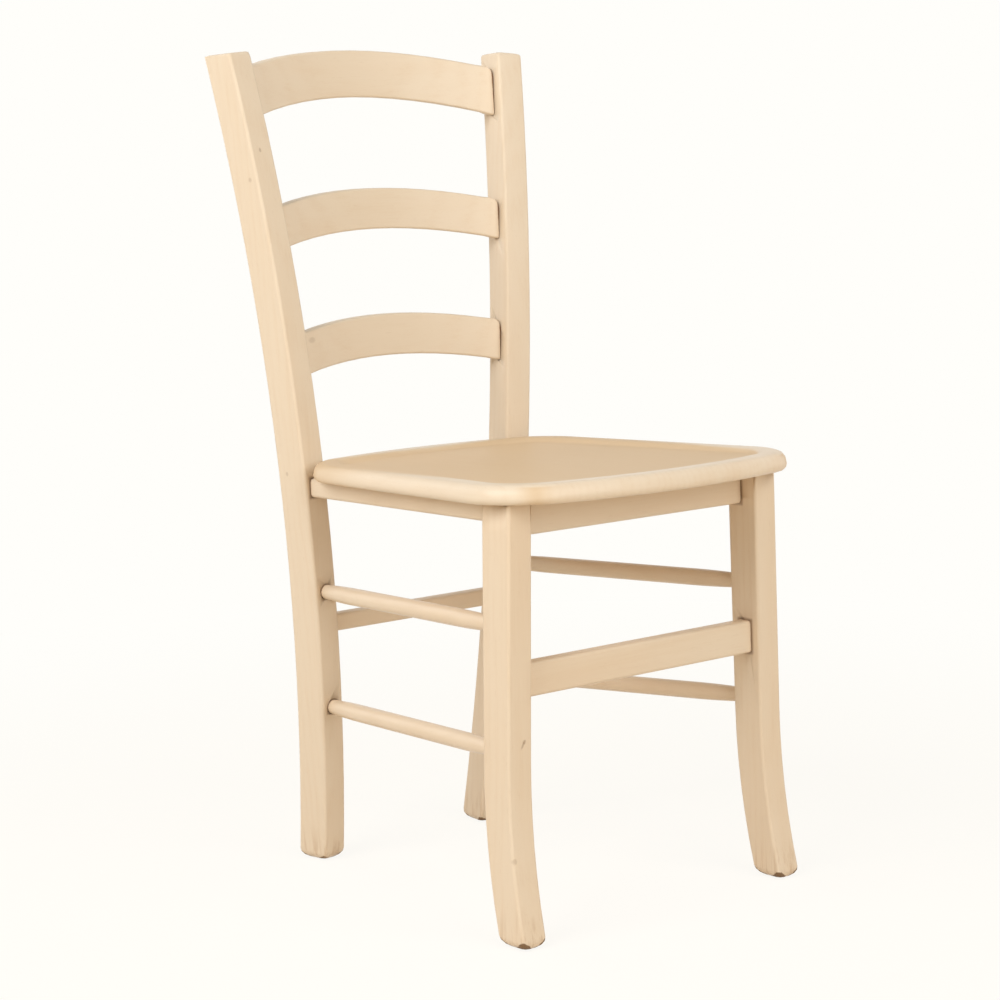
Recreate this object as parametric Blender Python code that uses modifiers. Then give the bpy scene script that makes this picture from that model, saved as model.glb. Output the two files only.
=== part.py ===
"""Ladder-back dining chair in pale lacquered wood.

Metres, +Z up, floor at z = 0. X runs across the chair and Y from its front to its back.
Pieces are drawn with Y = 0 at the seat's front edge. The empty that carries them all then sets
the origin on the floor under the middle of the chair.
"""

import math
from collections import namedtuple

import bmesh
import bpy
from mathutils import Vector

# Clearances between pieces that touch, and the softened corners of every member
GAP = 0.0003
CLEARANCE = 0.0003
ARRIS = 0.0035
ARRIS_STEPS = 2
MERGE = 1e-6

# Back posts: planks sawn to an arc, turned to face the sitter and splayed outwards
POST_HEIGHT = 0.882
POST_SETBACK = 0.4400
POST_WIDTH = 0.032
POST_DEPTH = 0.040
POST_HALF_SPACING = 0.1125
POST_SPLAY = math.radians(4.6)
POST_TOE = math.radians(9.0)
POST_ARC_RADIUS = 2.56
POST_UPRIGHT_HEIGHT = 0.376
POST_TOP_ROUND = 0.003
POST_TOP_SLOPE = math.radians(3.0)
POST_STEP = 0.040

# Front legs: straight down to a forward sweep
LEG_WIDTH = 0.031
LEG_DEPTH_TOP = 0.041
LEG_DEPTH_FOOT = 0.038
LEG_INSET = 0.0323
LEG_SPLAY = math.radians(1.38)
LEG_SETBACK = 0.0785
LEG_SWEEP_HEIGHT = 0.180
LEG_SWEEP_RADIUS = 0.70
LEG_STEP = 0.030

# Feet of posts and legs
FOOT_ROUND = 0.010
FOOT_STEPS = 4

# Seat: a solid panel, bowed in front, bulging behind, with a shallow dished field
SEAT_HEIGHT = 0.4584
SEAT_FALL = 0.0195
SEAT_THICKNESS = 0.0195
SEAT_HALF_WIDTH_FRONT = 0.2130
SEAT_HALF_WIDTH_REAR = 0.1745
SEAT_SIDE_LENGTH = 0.3700
SEAT_FRONT_BOW = 0.0386
SEAT_REAR_BOW = 0.0290
SEAT_FRONT_CORNER = 0.055
SEAT_REAR_CORNER = 0.050
SEAT_EDGE_BELLY = 0.0070
SEAT_EDGE_ROUND_ABOVE = 0.0100
SEAT_EDGE_ROUND_BELOW = 0.0060
SEAT_EDGE_STEPS = 3
SEAT_RIM = 0.024
DISH_SLOPE = 0.014
DISH_DEPTH = 0.0045
DISH_STEPS = 5
OUTLINE_CORNER_STEPS = 7
OUTLINE_STEP = 0.035

# Rails under the seat
RAIL_THICKNESS = 0.018
FRONT_RAIL_HEIGHT = 0.0355
FRONT_RAIL_SETBACK = 0.0205
SIDE_RAIL_HEIGHT = 0.0200

# Flat stretchers
FRONT_STRETCHER_HEIGHT = 0.0345
FRONT_STRETCHER_CENTRE = 0.2598
FRONT_STRETCHER_SETBACK = 0.0105
REAR_STRETCHER_HEIGHT = 0.0190
REAR_STRETCHER_CENTRE = 0.2669
STRETCHER_THICKNESS = 0.018

# Round side stretchers
DOWEL_RADIUS = 0.0093
DOWEL_END_RADIUS = 0.0078
DOWEL_TAPER = 0.060
DOWEL_TAPER_STEPS = 4
DOWEL_SOCKET = 0.016
DOWEL_SIDES = 16
DOWEL_HEIGHTS = {"upper": (0.3150, 0.3056), "lower": (0.1910, 0.1766)}

# Back slats: the lower corner's depth below the post tops, the height at the ends and what is lost midway
SLATS = {
    "top": (0.0692, 0.0542, 0.0024),
    "middle": (0.2087, 0.0448, 0.0),
    "lower": (0.3456, 0.0456, 0.0),
}
SLAT_THICKNESS = 0.013
SLAT_BEND_RADIUS = 0.420
SLAT_ARCH_RADIUS = 0.730
SLAT_SETBACK = 0.0138
SLAT_CORNER = 0.008
SLAT_CORNER_STEPS = 4
SLAT_STEPS = 12
SLAT_ARRIS = 0.0025

# Tenons
TENON_LENGTH = 0.014
TENON_WEB = 0.002
TENON_ROUND = 0.002
RAIL_SHOULDER = 0.004
SLAT_SHOULDER = 0.002

# Corner blocks and their screws
BLOCK_REACH = 0.055
BLOCK_CLIP = 0.016
BLOCK_THICKNESS = 0.016
SCREW_RADIUS = 0.0018
SCREW_HEAD_RADIUS = 0.0038
SCREW_HEAD_DEPTH = 0.0024
SCREW_TIP = 0.005
SCREW_SIDES = 12
SCREW_BITE = 0.010
SCREW_IN_RAIL = 0.012
SCREW_IN_SEAT = 0.011
SCREW_REACH = 0.037

# Colours, as linear red, green and blue
PALE_WOOD = (0.79, 0.62, 0.42)
PLAIN_WOOD = (0.62, 0.44, 0.26)
STEEL = (0.62, 0.61, 0.58)

Face = namedtuple("Face", "point normal")
Bar = namedtuple("Bar", "centre direction side up thickness height shoulder")
Z = Vector((0, 0, 1))
LEFT, RIGHT = -1, 1
SIDES = {"left": LEFT, "right": RIGHT}


def start_scene():
    for thing in list(bpy.data.objects):
        bpy.data.objects.remove(thing, do_unlink=True)
    found = {}
    for name in ("ladder_back_chair", "cutters"):
        found[name] = bpy.data.collections.new(name)
        bpy.context.scene.collection.children.link(found[name])
    return found["ladder_back_chair"], found["cutters"]


PARTS, CUTTERS = start_scene()
ORIGIN = bpy.data.objects.new("chair_origin", None)
PARTS.objects.link(ORIGIN)


def finish_of(name, colour, roughness, metallic):
    material = bpy.data.materials.new(name + "_finish")
    material.use_nodes = True
    shader = material.node_tree.nodes["Principled BSDF"]
    shader.inputs["Base Color"].default_value = (*colour, 1)
    shader.inputs["Roughness"].default_value = roughness
    shader.inputs["Metallic"].default_value = metallic
    material.diffuse_color = (*colour, 1)
    return material


def add_part(name, mesh, colour=PALE_WOOD, roughness=0.38, metallic=0.0):
    part = bpy.data.objects.new(name, mesh)
    part.data.materials.append(finish_of(name, colour, roughness, metallic))
    part.parent = ORIGIN
    PARTS.objects.link(part)
    return part


def add_cutter(name, mesh):
    cutter = bpy.data.objects.new(name, mesh)
    cutter.hide_render = True
    cutter.display_type = "WIRE"
    cutter.parent = ORIGIN
    CUTTERS.objects.link(cutter)
    return cutter


def cut(part, cutter):
    hole = part.modifiers.new(cutter.name, "BOOLEAN")
    hole.operation = "DIFFERENCE"
    hole.solver = "EXACT"
    hole.object = cutter


def skin(name, rings):
    """A grid wrapped round a stack of closed rings, with both ends capped."""
    around = len(rings[0])
    bm = bmesh.new()
    bmesh.ops.create_grid(bm, x_segments=around, y_segments=len(rings) - 1, size=1)
    for index, vert in enumerate(bm.verts):
        row, column = divmod(index, around + 1)
        vert.co = rings[row][column % around]
    bmesh.ops.remove_doubles(bm, verts=bm.verts, dist=MERGE)
    bmesh.ops.holes_fill(bm, edges=[edge for edge in bm.edges if edge.is_boundary], sides=0)
    bmesh.ops.recalc_face_normals(bm, faces=bm.faces)
    mesh = bpy.data.meshes.new(name)
    bm.to_mesh(mesh)
    bm.free()
    mesh.shade_smooth()
    mesh.set_sharp_from_angle(angle=math.radians(35))
    return mesh


def profile_mesh(name, profile):
    """A profile of (radius, distance along the axis) pairs, from the far end back to the near one."""
    mesh = bpy.data.meshes.new(name)
    points = [(radius, 0, distance) for radius, distance in profile]
    mesh.from_pydata(points, [(i, i + 1) for i in range(len(points) - 1)], [])
    return mesh


def turn(thing, place, direction, sides):
    """Turns a profile round its axis, which starts at a place and points in a direction."""
    thing.location = place
    thing.rotation_mode = "QUATERNION"
    thing.rotation_quaternion = direction.to_track_quat("Z", "Y")
    screw_turn = thing.modifiers.new("turn", "SCREW")
    screw_turn.steps = sides
    screw_turn.render_steps = sides
    screw_turn.use_merge_vertices = True
    screw_turn.merge_threshold = 0.00001
    return thing


def rounded_rectangle(half_u, half_v, radius):
    """(u, v) pairs once round a rectangle whose corners are arcs."""
    radius = min(radius, 0.95 * half_u, 0.95 * half_v)
    points = []
    for quarter, (sign_u, sign_v) in enumerate(((1, 1), (-1, 1), (-1, -1), (1, -1))):
        for step in range(ARRIS_STEPS + 1):
            angle = math.pi / 2 * (quarter + step / ARRIS_STEPS)
            u = sign_u * (half_u - radius) + radius * math.cos(angle)
            v = sign_v * (half_v - radius) + radius * math.sin(angle)
            points.append((u, v))
    return points


def section(bar, grow=0.0, radius=ARRIS):
    """The ring of a bar's cross-section, made larger all round by grow."""
    outline = rounded_rectangle(bar.thickness / 2 + grow, bar.height / 2 + grow, radius)
    return [bar.centre + bar.side * u + bar.up * v for u, v in outline]


def moved(face, distance):
    return Face(face.point + face.normal * distance, face.normal)


def slide_to(face, points, direction):
    """The points, each moved along a direction until it lies on the face's plane."""
    along = direction.dot(face.normal)
    return [point + direction * ((face.point - point).dot(face.normal) / along) for point in points]


def tenon_rings(bar, face, length):
    """Root and tip of a tenon that enters square to a face. The root lies a gap short of the face."""
    root = slide_to(moved(face, -GAP), section(bar, -bar.shoulder, TENON_ROUND), bar.direction)
    return [root, [point + face.normal * (length + GAP) for point in root]]


def mortise(name, bar, face, length):
    """The pocket that takes a bar's tenon with a clearance on every side."""
    root = slide_to(moved(face, -GAP), section(bar, CLEARANCE - bar.shoulder, TENON_ROUND), bar.direction)
    mouth = [point - face.normal * bar.thickness / 2 for point in root]
    bottom = [point + face.normal * (length + GAP + CLEARANCE) for point in root]
    return add_cutter("mortise_" + name, skin("mortise_" + name, [mouth, bottom]))


def rail(name, bar, near, far, length):
    """A straight bar with a shouldered tenon at each end, and its two mortises."""
    back = bar._replace(direction=-bar.direction)
    shoulders = [
        slide_to(moved(face, -GAP), section(bar), run.direction)
        for face, run in ((near, back), (far, bar))
    ]
    rings = tenon_rings(back, near, length)[::-1] + shoulders + tenon_rings(bar, far, length)
    part = add_part(name, skin(name, rings))
    return part, mortise(name + "_near", back, near, length), mortise(name + "_far", bar, far, length)


def ring_levels(top, step, top_round):
    """(height, inset) of each ring of a post or leg: rounded foot, shaft, eased top."""
    levels = []
    for k in range(FOOT_STEPS):
        angle = math.pi / 2 * k / FOOT_STEPS
        levels.append((FOOT_ROUND * (1 - math.cos(angle)), FOOT_ROUND * (1 - math.sin(angle))))
    shaft = top - top_round - FOOT_ROUND
    count = math.ceil(shaft / step)
    levels += [(FOOT_ROUND + shaft * k / count, 0.0) for k in range(count + 1)]
    if top_round:
        levels += [(top - top_round * 0.3, top_round * 0.3), (top, top_round)]
    return levels


# Seat surfaces, which the rails, legs and blocks are cut to


def seat_top(y):
    return SEAT_HEIGHT - SEAT_FALL * y


def under_seat(y):
    return seat_top(y) - SEAT_THICKNESS - GAP


# Back posts


def post_axes(side):
    """Unit vectors across the plank, outwards, and through it, backwards."""
    outward = Vector((side * math.cos(POST_TOE), -math.sin(POST_TOE), 0))
    backward = Vector((side * math.sin(POST_TOE), math.cos(POST_TOE), 0))
    return outward, backward


def post_sweep(height):
    rise = height - POST_UPRIGHT_HEIGHT
    return POST_ARC_RADIUS - math.sqrt(POST_ARC_RADIUS**2 - rise**2)


def post_centre(side, height):
    _, backward = post_axes(side)
    foot = Vector((side * (POST_HALF_SPACING + height * math.tan(POST_SPLAY)), POST_SETBACK, height))
    return foot + backward * post_sweep(height)


def post_run(side, height):
    """The unit vector up along a post."""
    step = 0.001
    return (post_centre(side, height + step) - post_centre(side, height - step)).normalized()


def post_inner(side, height):
    outward, backward = post_axes(side)
    normal = backward.cross(post_run(side, height)).normalized()
    normal *= math.copysign(1, normal.dot(outward))
    return Face(post_centre(side, height) - outward * POST_WIDTH / 2, normal)


def post_front(side, height):
    outward, backward = post_axes(side)
    normal = outward.cross(post_run(side, height)).normalized()
    normal *= math.copysign(1, normal.dot(backward))
    return Face(post_centre(side, height) - backward * POST_DEPTH / 2, normal)


def post(side_name):
    side = SIDES[side_name]
    outward, backward = post_axes(side)
    rings = []
    for height, inset in ring_levels(POST_HEIGHT, POST_STEP, POST_TOP_ROUND):
        half_width = POST_WIDTH / 2 - inset
        half_depth = POST_DEPTH / 2 - inset
        centre = post_centre(side, height)
        outline = rounded_rectangle(half_width, half_depth, ARRIS + inset / 3)
        rings.append([centre + outward * u + backward * v for u, v in outline])
        if height > POST_HEIGHT - POST_TOP_ROUND:
            for point, (u, v) in zip(rings[-1], outline):
                point.z -= u * math.tan(POST_SPLAY) + v * math.tan(POST_TOP_SLOPE)
    name = "back_post_" + side_name
    return add_part(name, skin(name, rings))


# Front legs


def leg_depth(height):
    return LEG_DEPTH_FOOT + (LEG_DEPTH_TOP - LEG_DEPTH_FOOT) * height / SEAT_HEIGHT


def leg_centre(side, height):
    drop = max(0.0, LEG_SWEEP_HEIGHT - height)
    sweep = LEG_SWEEP_RADIUS - math.sqrt(LEG_SWEEP_RADIUS**2 - drop**2)
    x = SEAT_HALF_WIDTH_FRONT - LEG_INSET - height * math.tan(LEG_SPLAY)
    return Vector((side * x, LEG_SETBACK - sweep, height))


def leg_inner(side, height):
    run = Vector((-side * math.tan(LEG_SPLAY), 0, 1))
    normal = Vector((0, side, 0)).cross(run).normalized()
    return Face(leg_centre(side, height) - Vector((side * LEG_WIDTH / 2, 0, 0)), normal)


def leg_rear(side, height):
    return Face(leg_centre(side, height) + Vector((0, leg_depth(height) / 2, 0)), Vector((0, -1, 0)))


def leg(side_name):
    side = SIDES[side_name]
    top = under_seat(LEG_SETBACK)
    rings = []
    for height, inset in ring_levels(top, LEG_STEP, 0.0):
        centre = leg_centre(side, height)
        half_depth = leg_depth(height) / 2 - inset
        outline = rounded_rectangle(LEG_WIDTH / 2 - inset, half_depth, ARRIS + inset / 3)
        rings.append([centre + Vector((u, v, 0)) for u, v in outline])
    for point in rings[-1]:
        point.z = under_seat(point.y)
    name = "front_leg_" + side_name
    return add_part(name, skin(name, rings))


# Back slats


def slat_end(side, middle):
    """The post's face at a slat, the end of the slat's centre-line on it, and how far its arc has turned."""
    face = post_inner(side, middle)
    _, backward = post_axes(side)
    point = face.point + backward * (SLAT_SETBACK + SLAT_THICKNESS / 2 - POST_DEPTH / 2)
    return face, point, side * math.asin(abs(point.x) / SLAT_BEND_RADIUS)


def slat_frame(end, turned_by, centre_y, lean, sizes):
    """A cross-section of the slat where its arc has turned by an angle."""
    depth, height, waist = sizes
    out = Vector((math.sin(turned_by), math.cos(turned_by), 0))
    x = SLAT_BEND_RADIUS * math.sin(turned_by)
    half_span = abs(end.x)
    arch = math.sqrt(SLAT_ARCH_RADIUS**2 - x**2) - math.sqrt(SLAT_ARCH_RADIUS**2 - half_span**2)
    lost = waist * (1 - (x / half_span) ** 2)
    rise = arch + lost / 2
    y = centre_y + SLAT_BEND_RADIUS * math.cos(turned_by) + lean * rise
    direction = Vector((math.cos(turned_by), -math.sin(turned_by), 0))
    up = Vector((0, lean, 1))
    centre = Vector((x, y, POST_HEIGHT - depth + height / 2 + rise))
    return Bar(centre, direction, out, up, SLAT_THICKNESS, height - lost, SLAT_SHOULDER)


def dropped(bar, drop):
    """The same section with its top edge lower by a drop."""
    return bar._replace(centre=bar.centre - bar.up * drop / 2, height=bar.height - drop)


def slat(name):
    """A slat bent to one arc and arched to another, with its two mortises by side."""
    sizes = SLATS[name]
    middle = POST_HEIGHT - sizes[0] + sizes[1] / 2
    ends = {side: slat_end(side, middle) for side in SIDES.values()}
    _, end, end_turn = ends[RIGHT]
    centre_y = end.y - SLAT_BEND_RADIUS * math.cos(end_turn)
    run = post_run(RIGHT, middle)

    def frame(turned_by):
        return slat_frame(end, turned_by, centre_y, run.y / run.z, sizes)

    def end_rings(side, face):
        """Rings that come to lie along the post's face, the top corner rounding off as they do."""
        rings = []
        for step in range(SLAT_CORNER_STEPS + 1):
            angle = math.pi / 2 * step / SLAT_CORNER_STEPS
            back = SLAT_CORNER * (1 - math.sin(angle))
            drop = SLAT_CORNER * (1 - math.cos(angle))
            bar = frame(side * (end_turn - back / SLAT_BEND_RADIUS))
            bar = dropped(bar, drop)._replace(direction=bar.direction * side)
            rings.append(slide_to(moved(face, -GAP - back), section(bar, 0.0, SLAT_ARRIS), bar.direction))
        return rings + tenon_rings(bar, face, TENON_LENGTH), bar

    limit = end_turn - 2 * SLAT_CORNER / SLAT_BEND_RADIUS
    turns = [limit * (2 * k / SLAT_STEPS - 1) for k in range(SLAT_STEPS + 1)]
    rings = [section(frame(turned_by), 0.0, SLAT_ARRIS) for turned_by in turns]
    full_name = name + "_slat"
    cutters = {}
    for side_name, side in SIDES.items():
        face = ends[side][0]
        end_part, bar = end_rings(side, face)
        rings = rings + end_part if side == RIGHT else end_part[::-1] + rings
        cutters[side] = mortise(f"{full_name}_{side_name}", bar, face, TENON_LENGTH)
    return add_part(full_name, skin(full_name, rings)), cutters


# Rails and flat stretchers


def cross_bar(y, low, height, thickness):
    """A bar that runs straight across the chair, its centre over the origin's X."""
    centre = Vector((0, y, low + height / 2))
    return Bar(centre, Vector((1, 0, 0)), Vector((0, 1, 0)), Z, thickness, height, RAIL_SHOULDER)


def stub_length(width, thickness):
    """A tenon short enough to miss the one that comes in from the next face."""
    return width / 2 - (thickness / 2 - RAIL_SHOULDER) - TENON_WEB


def cross_rail_y(end):
    """The middle of the front or rear rail's thickness."""
    if end == "rear":
        return post_centre(RIGHT, SEAT_HEIGHT).y
    leg_front = leg_centre(RIGHT, SEAT_HEIGHT).y - leg_depth(SEAT_HEIGHT) / 2
    return leg_front + FRONT_RAIL_SETBACK + RAIL_THICKNESS / 2


def cross_rail(end):
    y = cross_rail_y(end)
    height = {"front": FRONT_RAIL_HEIGHT, "rear": SIDE_RAIL_HEIGHT}[end]
    receiving = {"front": leg_inner, "rear": post_inner}[end]
    width = {"front": LEG_WIDTH, "rear": POST_WIDTH}[end]
    bar = cross_bar(y, under_seat(y + RAIL_THICKNESS / 2) - height, height, RAIL_THICKNESS)
    faces = [receiving(side, bar.centre.z) for side in (LEFT, RIGHT)]
    return rail(end + "_rail", bar, *faces, stub_length(width, RAIL_THICKNESS))


def front_stretcher():
    front = leg_centre(RIGHT, FRONT_STRETCHER_CENTRE).y - leg_depth(FRONT_STRETCHER_CENTRE) / 2
    y = front + FRONT_STRETCHER_SETBACK + STRETCHER_THICKNESS / 2
    low = FRONT_STRETCHER_CENTRE - FRONT_STRETCHER_HEIGHT / 2
    bar = cross_bar(y, low, FRONT_STRETCHER_HEIGHT, STRETCHER_THICKNESS)
    faces = [leg_inner(side, FRONT_STRETCHER_CENTRE) for side in (LEFT, RIGHT)]
    return rail("front_stretcher", bar, *faces, TENON_LENGTH)


def rear_stretcher():
    y = post_centre(RIGHT, REAR_STRETCHER_CENTRE).y
    low = REAR_STRETCHER_CENTRE - REAR_STRETCHER_HEIGHT / 2
    bar = cross_bar(y, low, REAR_STRETCHER_HEIGHT, STRETCHER_THICKNESS)
    faces = [post_inner(side, REAR_STRETCHER_CENTRE) for side in (LEFT, RIGHT)]
    return rail("rear_stretcher", bar, *faces, TENON_LENGTH)


def side_rail_ends(side):
    """Centres of the side rail's section where it meets the leg and the post."""
    ends = []
    for face in (leg_rear, post_front):
        y = face(side, SEAT_HEIGHT).point.y
        height = under_seat(y) - SIDE_RAIL_HEIGHT / 2
        ends.append(face(side, height).point)
    return ends


def side_rail(side_name):
    side = SIDES[side_name]
    front, rear = side_rail_ends(side)
    direction = (rear - front).normalized()
    across = direction.cross(Z).normalized()
    bar = Bar((front + rear) / 2, direction, across, Z, RAIL_THICKNESS, SIDE_RAIL_HEIGHT, RAIL_SHOULDER)
    faces = leg_rear(side, front.z), post_front(side, rear.z)
    return rail("side_rail_" + side_name, bar, *faces, TENON_LENGTH)


# Round side stretchers


def dowel(level, side_name):
    """A turned stretcher, thinner at its ends, with the round sockets that take it."""
    side = SIDES[side_name]
    front_height, rear_height = DOWEL_HEIGHTS[level]
    front = leg_rear(side, front_height).point
    rear = post_front(side, rear_height).point
    direction = (rear - front).normalized()
    span = (rear - front).length
    depth = DOWEL_SOCKET - CLEARANCE
    taper = []
    for k in range(DOWEL_TAPER_STEPS + 1):
        share = k / DOWEL_TAPER_STEPS
        ease = math.sin(math.pi / 2 * share)
        taper.append((DOWEL_END_RADIUS + (DOWEL_RADIUS - DOWEL_END_RADIUS) * ease, DOWEL_TAPER * share))
    chamfer = DOWEL_END_RADIUS / 8
    half = [(0, -depth), (DOWEL_END_RADIUS - chamfer, -depth), (DOWEL_END_RADIUS, chamfer - depth)] + taper
    profile = [(radius, span - distance) for radius, distance in half] + half[::-1]
    name = f"{level}_side_stretcher_{side_name}"
    turn(add_part(name, profile_mesh(name, profile)), front, direction, DOWEL_SIDES)
    sockets = []
    for end, place, way in (("front", front, -direction), ("rear", rear, direction)):
        radius = DOWEL_END_RADIUS + CLEARANCE
        bore = [(0, DOWEL_SOCKET), (radius, DOWEL_SOCKET), (radius, -DOWEL_RADIUS), (0, -DOWEL_RADIUS)]
        cutter = add_cutter(f"socket_{name}_{end}", profile_mesh(f"{name}_{end}", bore))
        sockets.append(turn(cutter, place, way, DOWEL_SIDES))
    return sockets


# Seat panel


def seat_outline():
    """Points once round the seat, each with its outward normal."""
    front = SEAT_FRONT_BOW
    rear = front + SEAT_SIDE_LENGTH
    corners = [
        (-SEAT_HALF_WIDTH_FRONT, front, SEAT_FRONT_CORNER),
        (SEAT_HALF_WIDTH_FRONT, front, SEAT_FRONT_CORNER),
        (SEAT_HALF_WIDTH_REAR, rear, SEAT_REAR_CORNER),
        (-SEAT_HALF_WIDTH_REAR, rear, SEAT_REAR_CORNER),
    ]
    arcs = []
    for i, (x, y, radius) in enumerate(corners):
        here = Vector((x, y))
        back = (Vector(corners[i - 1][:2]) - here).normalized()
        onward = (Vector(corners[(i + 1) % 4][:2]) - here).normalized()
        half = back.angle(onward) / 2
        centre = here + (back + onward).normalized() * radius / math.sin(half)
        spoke = here + back * radius / math.tan(half) - centre
        for k in range(OUTLINE_CORNER_STEPS + 1):
            turn = (math.pi - 2 * half) * k / OUTLINE_CORNER_STEPS
            spun = Vector((
                spoke.x * math.cos(turn) - spoke.y * math.sin(turn),
                spoke.x * math.sin(turn) + spoke.y * math.cos(turn),
            ))
            arcs.append(centre + spun)
    points = []
    for here, onward in zip(arcs, arcs[1:] + arcs[:1]):
        count = max(1, math.ceil((onward - here).length / OUTLINE_STEP))
        points += [here.lerp(onward, k / count) for k in range(count)]
    middle = (front + rear) / 2
    for point in points:
        ahead = (middle - point.y) / (middle - front)
        bow_front = SEAT_FRONT_BOW * max(0.0, 1 - (point.x / SEAT_HALF_WIDTH_FRONT) ** 2)
        bow_rear = SEAT_REAR_BOW * max(0.0, 1 - (point.x / SEAT_HALF_WIDTH_REAR) ** 2)
        point.y += -bow_front * max(0.0, ahead) + bow_rear * max(0.0, -ahead)
    normals = []
    for before, after in zip(points[-1:] + points[:-1], points[1:] + points[:1]):
        along = (after - before).normalized()
        normals.append(Vector((along.y, -along.x)))
    return list(zip(points, normals))


def seat():
    profile = []
    above = SEAT_THICKNESS - SEAT_EDGE_BELLY
    for k in range(-SEAT_EDGE_STEPS, SEAT_EDGE_STEPS + 1):
        angle = math.pi / 2 * k / SEAT_EDGE_STEPS
        rounding = SEAT_EDGE_ROUND_ABOVE if k > 0 else SEAT_EDGE_ROUND_BELOW
        reach = above if k > 0 else SEAT_EDGE_BELLY
        profile.append((rounding * (1 - math.cos(angle)), above - reach * math.sin(angle)))
    profile.append((SEAT_RIM, 0.0))
    for k in range(1, DISH_STEPS + 1):
        share = k / DISH_STEPS
        ease = (1 - math.cos(math.pi * share)) / 2
        profile.append((SEAT_RIM + DISH_SLOPE * share, DISH_DEPTH * ease))
    outline = seat_outline()
    rings = []
    for inset, depth in profile:
        flat = [point - normal * inset for point, normal in outline]
        rings.append([Vector((p.x, p.y, seat_top(p.y) - depth)) for p in flat])
    return add_part("seat_panel", skin("seat_panel", rings))


# Corner blocks and screws


def screw_profile(length, grow=0.0, behind=0.0):
    """A countersunk screw from its tip back to its head. A cutter grows all round and runs on behind."""
    shank = SCREW_RADIUS + grow
    head = SCREW_HEAD_RADIUS + grow
    return [
        (0, length + grow),
        (shank / 2, length + grow),
        (shank, length - SCREW_TIP),
        (shank, SCREW_HEAD_DEPTH),
        (head, 0),
        (head, -behind),
        (0, -behind),
    ]


def screw(name, place, direction, length, receivers):
    """A screw whose head lies at a place, and the holes for it."""
    mesh = profile_mesh(name, screw_profile(length))
    turn(add_part(name, mesh, STEEL, 0.35, 1.0), place, direction, SCREW_SIDES)
    grown = screw_profile(length, CLEARANCE, BLOCK_REACH)
    bore = add_cutter("bore_" + name, profile_mesh("bore_" + name, grown))
    turn(bore, place, direction, SCREW_SIDES)
    for receiver in receivers:
        cut(receiver, bore)


def corner_block(side_name, end, cross, side_piece, panel):
    """A block in the corner of two rails, screwed to both of them and up into the seat."""
    side = SIDES[side_name]
    front, rear = side_rail_ends(side)
    run = Vector((rear.x - front.x, rear.y - front.y, 0)).normalized()
    inward = Vector((-side * run.y, side * run.x, 0))
    offset = RAIL_THICKNESS / 2 + GAP
    way = {"front": 1, "rear": -1}[end]
    start = Vector((front.x, front.y, 0)) + inward * offset
    corner = start + run * ((cross_rail_y(end) + way * offset - start.y) / run.y)
    across = Vector((-side, 0, 0))
    along = run * way
    plan = [
        corner + across * BLOCK_REACH,
        corner + across * BLOCK_CLIP,
        corner + along * BLOCK_CLIP,
        corner + along * BLOCK_REACH,
    ]
    top = [Vector((p.x, p.y, under_seat(p.y))) for p in plan]
    name = f"corner_block_{end}_{side_name}"
    block = add_part(name, skin(name, [[p - Z * BLOCK_THICKNESS for p in top], top]), PLAIN_WOOD, 0.6)

    middle = sum(top, Vector()) / len(top)
    under = middle - Z * BLOCK_THICKNESS
    screw(f"seat_screw_{end}_{side_name}", under, Z, BLOCK_THICKNESS + SCREW_IN_SEAT, (block, panel))

    level = Z * (under_seat(corner.y) - BLOCK_THICKNESS / 2)
    length = SCREW_BITE + SCREW_IN_RAIL
    into_cross = Vector((0, -way, 0))
    place = corner + across * SCREW_REACH + level - into_cross * SCREW_BITE
    screw(f"{end}_rail_screw_{side_name}", place, into_cross, length, (block, cross))
    place = corner + along * SCREW_REACH + level + inward * SCREW_BITE
    screw(f"side_rail_screw_{end}_{side_name}", place, -inward, length, (block, side_piece))


def build():
    posts = {side: post(name) for name, side in SIDES.items()}
    legs = {side: leg(name) for name, side in SIDES.items()}
    slats = {}
    for name in SLATS:
        slats[name], mortises = slat(name)
        for side, cutter in mortises.items():
            cut(posts[side], cutter)

    cross_rails = {"front": cross_rail("front"), "rear": cross_rail("rear")}
    crossings = (
        (cross_rails["front"], legs),
        (cross_rails["rear"], posts),
        (front_stretcher(), legs),
        (rear_stretcher(), posts),
    )
    for (_, left_mortise, right_mortise), ends in crossings:
        cut(ends[LEFT], left_mortise)
        cut(ends[RIGHT], right_mortise)

    panel = seat()
    for name, side in SIDES.items():
        side_piece, front_mortise, rear_mortise = side_rail(name)
        cut(legs[side], front_mortise)
        cut(posts[side], rear_mortise)
        for level in DOWEL_HEIGHTS:
            front_socket, rear_socket = dowel(level, name)
            cut(legs[side], front_socket)
            cut(posts[side], rear_socket)
        for end, (cross, _, _) in cross_rails.items():
            corner_block(name, end, cross, side_piece, panel)

    seat_front = min(vertex.co.y for vertex in panel.data.vertices)
    slat_back = max(vertex.co.y for vertex in slats["top"].data.vertices)
    ORIGIN.location.y = -(seat_front + slat_back) / 2


build()
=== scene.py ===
"""Looks of the ladder-back chair: pale wood under satin lacquer, in soft studio light on a pale floor.

Every node keeps its own shape, merged and softly shaded. The wooden ones get grain along their length and
flecks, with a few small marks, brown staining and painted crevice shade where they meet, scuffs at the feet,
and painted shade low on the feet where their undersides face the floor. The seat's dished field is painted
darker as shade, and the slats and posts are painted paler as light.
"""

import math

import bmesh
import bpy
from mathutils import Matrix, Vector
from mathutils.bvhtree import BVHTree

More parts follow.
